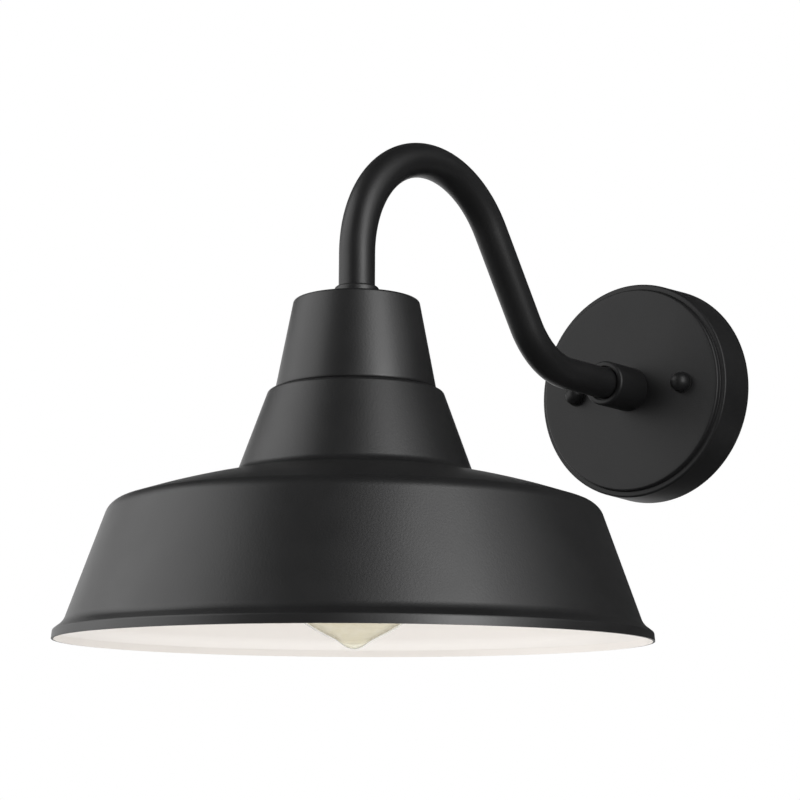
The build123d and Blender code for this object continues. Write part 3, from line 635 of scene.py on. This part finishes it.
def make_nuts():
    """Ball cap nuts and their washers, each with the threaded stud that it screws off."""
    dome_out = nut_seat_out + NUT_COLLAR
    dome = [
        (NUT_R * cos(pi / 2 * step / DOME_STEPS), dome_out + NUT_R * sin(pi / 2 * step / DOME_STEPS), 0)
        for step in range(DOME_STEPS + 1)
    ]
    for side, x in (("left", -stud_x), ("right", stud_x)):
        place = Matrix.Translation((x, 0, 0)) @ OUT_FROM_WALL
        nut = turned((
            (0, nut_seat_out + NUT_BORE, 0),
            (STUD_HOLE_R, nut_seat_out + NUT_BORE, 0),
            (STUD_HOLE_R, nut_seat_out, 0),
            (NUT_R, nut_seat_out, NUT_COLLAR_BEND),
            *dome,
        ), SMALL_STEPS)
        make_piece(
            nut, f"ball_nut_{side}", place, f"nut_{side}", "black_paint", (canopy_coat_painted_shade,), f"cap_nut_{side}",
        )
        washer = turned((
            (STUD_HOLE_R, face_out, 0),
            (WASHER_R, face_out, 0),
            (WASHER_R, nut_seat_out, WASHER_BEND),
            (STUD_HOLE_R, nut_seat_out, 0),
            (STUD_HOLE_R, face_out, 0),
        ), SMALL_STEPS)
        make_piece(
            washer, f"nut_washer_{side}", place, f"nut_travel_{side}", "black_rubber", (foam_rubber,),
            f"washer_{side}",
        )
        stud = threaded(STUD_ROOT_R, STUD_R, STUD_PITCH, STUD_POINT, stud_out - STUD_POINT, STUD_STEPS)
        for height, end in ((STUD_POINT, 0), (stud_out - STUD_POINT, stud_out)):
            carry_ring(stud, ring_at(stud, height), STUD_ROOT_R, end)
        bmesh.ops.holes_fill(stud, edges=[edge for edge in stud.edges if edge.is_boundary], sides=0)
        bmesh.ops.recalc_face_normals(stud, faces=stud.faces)
        make_piece(
            stud, f"threaded_stud_{side}", place, "fixture", "zinc_steel", (zinc_plate,), f"stud_{side}",
        )


def make_plate():
    """Mount plate with its wire hole, box slots, stud holes and earth hole."""
    bm = bmesh.new()
    ground = (GROUND_RADIUS * cos(GROUND_ANGLE), GROUND_RADIUS * sin(GROUND_ANGLE))
    circles = (
        (PLATE_R, 0, 0, ROUND_STEPS),
        (PLATE_WIRE_HOLE_R, 0, 0, SMALL_STEPS),
        (STUD_R, stud_x, 0, STUD_STEPS),
        (STUD_R, -stud_x, 0, STUD_STEPS),
        (GROUND_HOLE_R, *ground, STUD_STEPS),
    )
    for radius, x, z, steps in circles:
        bmesh.ops.create_circle(
            bm, cap_ends=False, radius=radius, segments=steps, matrix=Matrix.Translation((x, z, PLATE_THICK)),
        )
    for z in (BOX_SLOT_Z, -BOX_SLOT_Z):
        place = Matrix.Translation((0, z, PLATE_THICK)) @ Matrix.Rotation(pi / STUD_STEPS, 4, "Z")
        ring = bmesh.ops.create_circle(
            bm, cap_ends=False, radius=BOX_SLOT_R, segments=STUD_STEPS, matrix=place,
        )
        for vert in ring["verts"]:
            vert.co.y += BOX_SLOT_RUN if vert.co.y > z else -BOX_SLOT_RUN
    bmesh.ops.triangle_fill(bm, use_beauty=True, edges=bm.edges[:], normal=(0, 0, 1))
    bmesh.ops.recalc_face_normals(bm, faces=bm.faces)
    if bm.faces[:][0].normal.z < 0:
        bmesh.ops.reverse_faces(bm, faces=bm.faces)
    give_wall(bm, PLATE_THICK)
    corners = [edge for edge in bm.edges if edge.calc_face_angle(0) > SHARP]
    corners = [edge for edge in corners if abs(edge.verts[0].co.z - edge.verts[1].co.z) < MERGE]
    bmesh.ops.bevel(
        bm, geom=corners, offset=PLATE_BEVEL, offset_type="OFFSET", affect="EDGES",
        segments=PLATE_BEVEL_STEPS, profile=0.5, material=-1,
    )
    make_piece(bm, "wall_plate", OUT_FROM_WALL, "fixture", "zinc_steel", (zinc_plate,), "mount_plate")


def make_gasket():
    """Foam ring between the canopy's rim and the wall."""
    gasket = turned((
        (gasket_r - GASKET_WIDTH, 0, 0),
        (gasket_r, 0, 0),
        (gasket_r, gasket_out, GASKET_BEND),
        (gasket_r - GASKET_WIDTH, gasket_out, GASKET_BEND),
        (gasket_r - GASKET_WIDTH, 0, 0),
    ))
    make_piece(gasket, "foam_gasket", OUT_FROM_WALL, "fixture", "black_rubber", (foam_rubber,), "wall_gasket")


def make_connectors():
    """Twist-on connectors: a round skirt and a fluted cone over each lead's end."""
    for lead in ("hot", "neutral"):
        low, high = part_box(f"wire_connector_{lead}")
        length = high.z - low.z
        bm = turned((
            (0, CONNECTOR_GRIP, 0),
            (CONNECTOR_BORE_R, CONNECTOR_GRIP, 0),
            (CONNECTOR_BORE_R, 0, 0),
            (CONNECTOR_R, 0, CONNECTOR_BEND),
            (CONNECTOR_R, CONNECTOR_SKIRT, 0),
            (CONNECTOR_TIP_R, length, CONNECTOR_BEND),
            (0, length, 0),
        ), STEPS_PER_FLUTE * CONNECTOR_FLUTES)
        for vert in bm.verts:
            if vert.co.z > CONNECTOR_SKIRT and vert.co.xy.length > CONNECTOR_BORE_R + MERGE:
                wave = cos(CONNECTOR_FLUTES * atan2(vert.co.y, vert.co.x))
                vert.co.xy -= vert.co.xy.normalized() * CONNECTOR_FLUTE * (1 - wave) / 2
        middle = (low + high) / 2
        upright = middle.z > 0
        place = Matrix.Translation((middle.x, middle.y, low.z if upright else high.z))
        turn = Matrix() if upright else Matrix.Rotation(pi, 4, "X")
        make_piece(
            bm, f"twist_connector_{lead}", place @ turn, "fixture", "connector_plastic", (orange_plastic,),
            f"wire_connector_{lead}",
        )


def make_holder():
    """Porcelain lampholder and its rolled brass screw shell."""
    holder = turned((
        (0, holder_top_z - HOLDER_FLOOR, 0),
        (HOLDER_BORE_R, holder_top_z - HOLDER_FLOOR, 0),
        (HOLDER_BORE_R, holder_low_z, HOLDER_BORE_BEND),
        (HOLDER_R, holder_low_z, HOLDER_BEND),
        (HOLDER_R, holder_top_z, HOLDER_BEND),
        (0, holder_top_z, 0),
    ))
    make_piece(
        holder, "porcelain_holder", ON_SHADE_AXIS, "fixture", "porcelain", (porcelain_glaze,), "socket_body",
    )
    thread_low = shell_low_z + SHELL_PLAIN
    thread_high = shell_top_z - SHELL_PLAIN
    shell = threaded(SHELL_ROOT_R, SHELL_CREST_R, BASE_PITCH, thread_low, thread_high)
    carry_ring(shell, ring_at(shell, thread_low), SHELL_CREST_R, shell_low_z)
    ring = carry_ring(shell, ring_at(shell, thread_high), SHELL_CREST_R, shell_top_z)
    carry_ring(shell, ring, SHELL_EYE_R, shell_top_z)
    face_outwards(shell)
    give_wall(shell, SHELL_SHEET)
    make_piece(shell, "screw_shell", ON_SHADE_AXIS, "fixture", "brass", (brass_sheet,), "socket_shell")


def slotted_screw(head_r, head, shank_r, shank):
    """A screw with a slotted round head below Z = 0 and its shank above."""
    bm = bmesh.new()
    bmesh.ops.create_circle(bm, cap_ends=True, radius=head_r, segments=SMALL_STEPS)
    for side in (-1, 1):
        bmesh.ops.bisect_plane(
            bm, geom=bm.verts[:] + bm.edges[:] + bm.faces[:], plane_co=(side * SCREW_SLOT / 2, 0, 0),
            plane_no=(1, 0, 0),
        )
    lift_faces(bm, bm.faces[:], SCREW_SLOT_DEPTH - head)
    low = [face for face in bm.faces if face.calc_center_median().z < SCREW_SLOT_DEPTH - head + MERGE]
    halves = [face for face in low if abs(face.calc_center_median().x) > SCREW_SLOT]
    lift_faces(bm, halves, -SCREW_SLOT_DEPTH)
    bmesh.ops.recalc_face_normals(bm, faces=bm.faces)
    rim = [
        edge for edge in bm.edges
        if all(abs(vert.co.z + head) < MERGE for vert in edge.verts) and edge.calc_face_angle(0) > SHARP
    ]
    bmesh.ops.bevel(
        bm, geom=rim, offset=SCREW_BEVEL, offset_type="OFFSET", affect="EDGES",
        segments=SCREW_BEVEL_STEPS, profile=0.5, material=-1,
    )
    bmesh.ops.create_cone(
        bm, cap_ends=True, segments=STUD_STEPS, radius1=shank_r, radius2=shank_r, depth=shank,
        matrix=Matrix.Translation((0, 0, shank / 2)),
    )
    return bm


def lift_faces(bm, faces, height):
    """Extrude faces along Z."""
    made = bmesh.ops.extrude_face_region(bm, geom=faces)["geom"]
    bmesh.ops.translate(
        bm, verts=[item for item in made if isinstance(item, bmesh.types.BMVert)], vec=(0, 0, height),
    )


def make_shade_screws():
    """Screws that hold the shade's neck to the cap, heads inside the shade."""
    screw = slotted_screw(SCREW_HEAD_R, SCREW_HEAD, SCREW_R, screw_top_z - screw_seat_z)
    out = Matrix.Translation((SCREW_CIRCLE_R, 0, screw_seat_z))
    places = [Matrix.Rotation(tau * index / SHADE_SCREWS, 4, "Z") @ out for index in range(SHADE_SCREWS)]
    make_piece(
        repeated(screw, places), "neck_screws", ON_SHADE_AXIS, "fixture", "zinc_steel", (zinc_plate,),
        "shade_screws",
    )


def make_bulb():
    """Bulb: blown glass with a drawn tip, and a rolled screw base."""
    bm = bmesh.new()
    line = []
    for (start, _, out), (end, back, _) in zip(BULB_KNOTS, BULB_KNOTS[1:]):
        knots = [Vector((*start, 0)), Vector((*start, 0)) + Vector((*out, 0))]
        knots += [Vector((*end, 0)) + Vector((*back, 0)), Vector((*end, 0))]
        line += interpolate_bezier(*knots, KNOT_STEPS)[bool(line):]
    verts = [bm.verts.new((point.x, 0, point.y)) for point in line]
    for start, end in zip(verts, verts[1:]):
        bm.edges.new((start, end))
    spin_round(bm, ROUND_STEPS)
    give_wall(bm, BULB_GLASS)
    make_piece(bm, "glass_envelope", ON_BULB_TIP, "bulb", "amber_glass", (amber_glass,), "bulb_glass")
    base = threaded(BASE_ROOT_R, BASE_CREST_R, BASE_PITCH, BASE_THREAD_H, BASE_NECK_H)
    ring = carry_ring(base, ring_at(base, BASE_THREAD_H), BASE_CREST_R, BASE_SKIRT_H)
    carry_ring(base, ring, BASE_CREST_R, BASE_LOW_H)
    ring = carry_ring(base, ring_at(base, BASE_NECK_H), BASE_ROOT_R, BASE_SHOULDER_H)
    ring = carry_ring(base, ring, BASE_TOP_R, BASE_TOP_H)
    carry_ring(base, ring, BASE_EYE_R, BASE_TOP_H)
    face_outwards(base)
    give_wall(base, BASE_SHEET)
    make_piece(base, "screw_base", ON_BULB_TIP, "bulb", "bulb_cap", (cap_metal,), "bulb_base")


make_shade()
make_cap()
make_arm()
make_canopy()
make_nuts()
make_plate()
make_gasket()
make_connectors()
make_holder()
make_shade_screws()
make_bulb()

# Finishes of the pieces that keep their first shape
PLAIN_PIECES = (
    (zinc_plate, ("cap_locknut", "hub_locknut", "arm_plug", "socket_nipple", "socket_strap")),
    (zinc_plate, ("strap_locknut", "strap_screws", "terminal_screw_neutral")),
    (brass_sheet, ("terminal_screw_hot", "socket_contact")),
    (green_plate, ("ground_screw",)),
    (black_lead, ("lead_hot",)),
    (white_lead, ("lead_neutral",)),
    (dark_glass, ("bulb_insulator",)),
    (cap_metal, ("bulb_contact",)),
    (stem_glass, ("bulb_stem",)),
    (filament_wire, ("bulb_filament", "filament_supports", "filament_leads")),
)
for material, names in PLAIN_PIECES:
    for name in names:
        nodes[name].material_slots[0].material = material

# Camera: the place and view that the photograph was taken from
CAMERA_PLACE = Vector((0.7104, -1.1428, -0.2407))
CAMERA_AZIMUTH = radians(39.186)
CAMERA_RISE = radians(10.083)
CAMERA_ROLL = radians(0.225)
FOCAL_PIXELS = 2005.6
PHOTO_PIXELS = 800
SENSOR_MM = 36.0


def make_camera():
    """Camera that looks up at the lamp from its right front."""
    data = bpy.data.cameras.new("camera")
    data.sensor_width = SENSOR_MM
    data.lens = FOCAL_PIXELS / PHOTO_PIXELS * SENSOR_MM
    camera = bpy.data.objects.new("camera", data)
    bpy.context.scene.collection.objects.link(camera)
    turn = Matrix.Rotation(CAMERA_AZIMUTH, 4, "Z")
    tilt = Matrix.Rotation(pi / 2 + CAMERA_RISE, 4, "X")
    roll = Matrix.Rotation(CAMERA_ROLL, 4, "Z")
    camera.matrix_world = Matrix.Translation(CAMERA_PLACE) @ turn @ tilt @ roll
    bpy.context.scene.camera = camera


# Studio: azimuths are to the right of the camera, seen from the lamp
STUDIO_CENTRE = Vector((0, -0.2, -0.05))
FILL_STRENGTH = 1.15
FLOOR_Z = -0.95
FLOOR_SIZE = 12.0


def make_world():
    """White for what the camera, gloss and glass see; a softer fill for the rest."""
    world = bpy.data.worlds.new("studio")
    bpy.context.scene.world = world
    world.use_nodes = True
    tree = world.node_tree
    background = tree.nodes["Background"]
    path = tree.nodes.new("ShaderNodeLightPath")
    camera_or_gloss = tree.nodes.new("ShaderNodeMath")
    camera_or_gloss.operation = "MAXIMUM"
    seen = tree.nodes.new("ShaderNodeMath")
    seen.operation = "MAXIMUM"
    tree.links.new(path.outputs["Is Camera Ray"], camera_or_gloss.inputs[0])
    tree.links.new(path.outputs["Is Glossy Ray"], camera_or_gloss.inputs[1])
    tree.links.new(camera_or_gloss.outputs[0], seen.inputs[0])
    tree.links.new(path.outputs["Is Transmission Ray"], seen.inputs[1])
    strength = tree.nodes.new("ShaderNodeMapRange")
    strength.inputs["To Min"].default_value = FILL_STRENGTH
    strength.inputs["To Max"].default_value = 1.0
    tree.links.new(seen.outputs[0], strength.inputs["Value"])
    tree.links.new(strength.outputs["Result"], background.inputs["Strength"])
    background.inputs["Color"].default_value = (1, 1, 1, 1)


def studio_place(azimuth, elevation, distance):
    """Matrix of a panel that stands round the lamp and faces it."""
    turn = CAMERA_AZIMUTH + radians(azimuth)
    rise = radians(elevation)
    away = Vector((sin(turn) * cos(rise), -cos(turn) * cos(rise), sin(rise)))
    facing = away.to_track_quat("Z", "Y").to_matrix().to_4x4()
    return Matrix.Translation(STUDIO_CENTRE + away * distance) @ facing


def make_softbox(name, azimuth, elevation, distance, width, height, power):
    """Large soft lamp."""
    lamp = bpy.data.lights.new(name, "AREA")
    lamp.shape = "RECTANGLE"
    lamp.size = width
    lamp.size_y = height
    lamp.energy = power
    box = bpy.data.objects.new(name, lamp)
    box.matrix_world = studio_place(azimuth, elevation, distance)
    bpy.context.scene.collection.objects.link(box)


def make_flag(name, card, azimuth, elevation, distance, width, height):
    """Dark card that only gloss sees, as a photographer sets it to shape reflections."""
    bm = bmesh.new()
    bmesh.ops.create_grid(bm, x_segments=1, y_segments=1, size=0.5)
    bmesh.ops.scale(bm, vec=(width, height, 1), verts=bm.verts)
    bm.transform(studio_place(azimuth, elevation, distance))
    mesh = bpy.data.meshes.new(name)
    bm.to_mesh(mesh)
    bm.free()
    mesh.materials.append(card)
    flag = bpy.data.objects.new(name, mesh)
    bpy.context.scene.collection.objects.link(flag)
    flag.visible_camera = False
    flag.visible_diffuse = False
    flag.visible_transmission = False
    flag.visible_shadow = False


def make_floor():
    """Plain pale floor below the lamp."""
    bm = bmesh.new()
    bmesh.ops.create_grid(bm, x_segments=1, y_segments=1, size=FLOOR_SIZE / 2)
    bm.transform(Matrix.Translation((0, 0, FLOOR_Z)))
    mesh = bpy.data.meshes.new("floor")
    bm.to_mesh(mesh)
    bm.free()
    mesh.materials.append(pale_floor)
    floor = bpy.data.objects.new("floor", mesh)
    bpy.context.scene.collection.objects.link(floor)


pale_floor = finish(
    "pale_floor", ((0.78, 0.78, 0.78), (0.82, 0.82, 0.82)), roughness=(0.6, 0.8),
    grain_scale=40, mottle_scale=2, grain_depth=0.0001,
)
black_felt = finish(
    "black_felt", ((0.004, 0.004, 0.004), (0.006, 0.006, 0.006)), roughness=(0.9, 1.0),
    grain_scale=400, mottle_scale=20, grain_depth=0.0001,
)
grey_card = finish(
    "grey_card", ((0.04, 0.04, 0.04), (0.05, 0.05, 0.05)), roughness=(0.9, 1.0),
    grain_scale=400, mottle_scale=20, grain_depth=0.0001,
)

bpy.context.scene.view_settings.view_transform = "Standard"
make_camera()
make_world()
make_floor()
make_softbox("left_softbox", azimuth=-83, elevation=19, distance=1.7, width=1.75, height=2.5, power=15.1)
make_softbox("right_softbox", azimuth=39, elevation=25, distance=1.8, width=0.95, height=1.9, power=18.0)
make_softbox("low_softbox", azimuth=34, elevation=7, distance=1.7, width=0.5, height=0.5, power=6.0)
make_flag("front_flag", black_felt, azimuth=-22, elevation=20, distance=2.6, width=2.4, height=4.0)
make_flag("right_flag", grey_card, azimuth=131, elevation=14, distance=2.4, width=3.5, height=4.6)
make_flag("side_flag", black_felt, azimuth=83, elevation=-4, distance=2.3, width=1.55, height=2.0)
make_flag("back_flag", grey_card, azimuth=192, elevation=42, distance=2.4, width=2.9, height=2.0)
make_flag("top_flag", black_felt, azimuth=0, elevation=88, distance=2.6, width=4.5, height=3.0)
make_flag("floor_flag", black_felt, azimuth=0, elevation=-88, distance=0.8, width=4.0, height=4.0)
